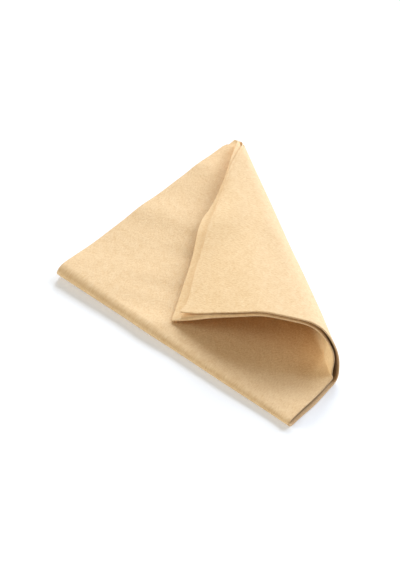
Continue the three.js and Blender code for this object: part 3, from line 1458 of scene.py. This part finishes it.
@dataclass
class Studio:
    """Camera, lamps and floor, at the photograph's viewing angle.

    Attributes:
        azimuth: Bearing of the camera in degrees, 0 looking along +Y.
        elevation: Height of the camera above the horizon in degrees.
        distance: Distance from the target.
        target: Point of the flat quarter that the image's middle shows.
        focal_pixels: Focal length in pixels of the image.
        sensor: Sensor size along the image's long side, in millimetres.
        near_clip: Nearest distance that the camera shows.
        sky: Strength of the even light from all round.
        sky_colour: Colour of that light.
        backdrop: Colour of what the camera sees behind the floor.
        lamp_list: The soft lamps.
        floor_size: Side of the floor.
        floor_drop: How far the floor lies below the cloth.
        floor_colour: Colour of the floor.
        glow: Strength that whitens the floor for the camera.
        glow_colour: Colour of that glow.
    """

    azimuth: float = 40.62
    elevation: float = 46.76
    distance: float = 0.8892
    target: Span = (0.07872, 0.05397)
    focal_pixels: float = 1304.25
    sensor: float = 36.0
    near_clip: float = 0.01
    sky: float = 0.295
    sky_colour: Colour = (1.0, 0.80, 0.58, 1.0)
    backdrop: Colour = (1.0, 1.0, 1.0, 1.0)
    lamp_list: tuple[Lamp, ...] = (
        Lamp("right key", 73, 31, 2.16, (0.76, 0.87, 1.0)),
        Lamp("left key", 118, 30, 2.48, (0.81, 0.90, 1.0)),
        Lamp("fill", 215, 13, 1.85, (0.95, 1.0, 0.90)),
    )
    floor_size: float = 6.0
    floor_drop: float = 0.0001
    floor_colour: Colour = (0.86, 0.855, 0.885, 1.0)
    glow: float = 0.29
    glow_colour: Colour = (0.83, 0.93, 1.0, 1.0)

    def camera(self, corner: Array) -> None:
        """Place the camera.

        Args:
            corner: The quarter's loose front corner in the row frame.
        """
        data = bpy.data.cameras.new("camera")
        data.sensor_width = self.sensor
        data.lens = self.sensor * self.focal_pixels / max(IMAGE_WIDTH, IMAGE_HEIGHT)
        data.clip_start = self.near_clip
        back = direction(self.azimuth - QUARTER_TURN, self.elevation)
        target = Vector((corner[0] + self.target[0], corner[1] + self.target[1], 0.0))
        obj = put_in_scene("camera", data)
        obj.location = target + back * self.distance
        obj.rotation_quaternion = (-back).to_track_quat("-Z", "Y")
        bpy.context.scene.camera = obj

    def lamps(self) -> None:
        """Light the cloth from all round and with the soft lamps."""
        world = bpy.data.worlds.new("studio")
        world.use_nodes = True
        tree = world.node_tree
        even = tree.nodes["Background"]
        fill(tree, even, {"Strength": self.sky, "Color": self.sky_colour})
        seen = add_node(tree, "ShaderNodeBackground", {"Color": self.backdrop})
        shaders = (node.outputs["Background"] for node in (even, seen))
        show_camera(tree, *shaders, tree.nodes["World Output"])
        bpy.context.scene.world = world
        for lamp in self.lamp_list:
            lamp.hang()

    def floor(self) -> None:
        """Lay a white floor that keeps the cloth's shadow."""
        half, below = self.floor_size / 2, -self.floor_drop
        mesh = bpy.data.meshes.new("floor")
        corners = [(-half, -half, below), (half, -half, below), (half, half, below), (-half, half, below)]
        mesh.from_pydata(corners, [], [(0, 1, 2, 3)])
        mesh.materials.append(self.floor_material())
        put_in_scene("floor", mesh)

    def floor_material(self) -> bpy.types.Material:
        """Make the floor's finish.

        Returns:
            A matt material that glows a little for the camera alone.
        """
        material = bpy.data.materials.new("white floor")
        material.use_nodes = True
        tree = material.node_tree
        shader = tree.nodes["Principled BSDF"]
        fill(tree, shader, {"Base Color": self.floor_colour, "Roughness": 1.0, "Specular IOR Level": 0.0})
        light = {"Color": self.glow_colour, "Strength": self.glow}
        glow = add_node(tree, "ShaderNodeEmission", light).outputs["Emission"]
        matt = shader.outputs["BSDF"]
        white = add_node(tree, "ShaderNodeAddShader", {0: matt, 1: glow}).outputs["Shader"]
        show_camera(tree, matt, white, tree.nodes["Material Output"])
        return material


@dataclass
class Cloth:
    """The whole cloth: its bed, and the strips of both sheets round the roll.

    Attributes:
        quarter: The shape of the folded cloth.
        seams: Where the pieces part along the folded side, between the creases.
        rows: Rows of faces of the pieces between those places.
        corner_trim: How much of the rolled corner's point is rounded off.
        bend_reach: Half of the distance between the two points that bend_line gives on either side of each
            crease.
        probe_around: Step round the sheet at which a crease's own direction is read.
        probe_side: Distance to each side of the crease over which it is read.
    """

    quarter: FoldedQuarter
    seams: tuple[float, ...] = (0.030, 0.0567, 0.0734, 0.0871, 0.110)
    rows: tuple[int, ...] = (26, 20, 18, 26, 44)
    corner_trim: float = 0.0006
    bend_reach: tuple[float, ...] = (0.0045, 0.005, 0.005, 0.005, 0.008)
    probe_around: float = 1.3
    probe_side: float = 0.002

    def build(self) -> list[bpy.types.Object]:
        """Make and dress every piece, and hang the bed on its body.

        Returns:
            The new objects.
        """
        finishes = [BrushedCloth().material(), RawEdgeWithPaintedShade().material()]
        bed = Bed(self.quarter, "cloth_bed", Sheet.LOWER, start=0.0, end=self.seams[0], rows=0)
        made = [self.dress(bed.build(), finishes)]
        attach(made[0], "bed")
        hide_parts("lower_sheet_bed", "upper_sheet_bed", "main_fold_outer", "main_fold_inner")
        self.declare(made[0], bed)
        ends = (*self.seams[1:], self.quarter.depth - self.corner_trim)
        for sheet in Sheet:
            for number, crease in enumerate(self.quarter.creases):
                body = crease.replace(Sheet.LOWER.value, sheet.value)
                part = body.split("_", 1)[1]
                span = self.seams[number], ends[number]
                strip = Strip(self.quarter, f"cloth_{body}", sheet, *span, self.rows[number])
                obj = self.dress(strip.build(), finishes)
                start, end = self.bend_line(strip, number, body)
                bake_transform(obj)
                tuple(start)
                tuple(end)
                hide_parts(f"{sheet.value}_sheet_{part}")
                self.declare(obj, strip)
                made.append(obj)
        return made

    def bend_line(self, strip: Strip, number: int, body: str) -> tuple:
        """Two points on either side of a crease, between which a piece bends.

        Args:
            strip: The piece that crosses the crease.
            number: Number of the crease along the sheet.
            body: The body that hangs on the crease.

        Returns:
            The start and the end point in the row frame.
        """
        joint = self.quarter.joints[body]
        axis, middle = np.array(joint["axis"]), np.array(joint["pos_m"])
        side = self.quarter.bends[number].side
        sides = np.array([side - self.probe_side, side + self.probe_side])
        near, far = strip.surface(np.full(2, self.probe_around), sides)
        across = far - near
        across -= axis * (across @ axis)
        across *= self.bend_reach[number] / np.linalg.norm(across)
        return tuple(middle - across), tuple(middle + across)

    def dress(self, obj: bpy.types.Object, finishes: list[bpy.types.Material]) -> bpy.types.Object:
        """Give a piece its finishes.

        Args:
            obj: The piece's object.
            finishes: The finish of its faces and that of its cut edges.

        Returns:
            The same object.
        """
        for finish in finishes:
            obj.data.materials.append(finish)
        return obj

    def declare(self, obj: bpy.types.Object, piece: Strip) -> None:
        """Log a piece's faces and its area on the open cloth.

        Args:
            obj: The piece's object.
            piece: What it was made from.
        """
        area = piece.flat_area()
        if isinstance(piece, Bed):
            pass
        else:
            piece.flat_size()
        log.info("%s: %d faces, %.0f square cm", obj.name, len(obj.data.polygons), area * SQUARE_CM)


def main() -> None:
    """Build the cloth and the studio."""
    logging.basicConfig(level=logging.INFO, format="%(name)s: %(message)s")
    bpy.context.scene.view_settings.view_transform = "Standard"
    quarter = FoldedQuarter()
    studio = Studio()
    studio.camera(quarter.corner)
    studio.lamps()
    studio.floor()
    pieces = Cloth(quarter).build()
    log.info("%d pieces made", len(pieces))


if __name__ == "__main__":
    main()
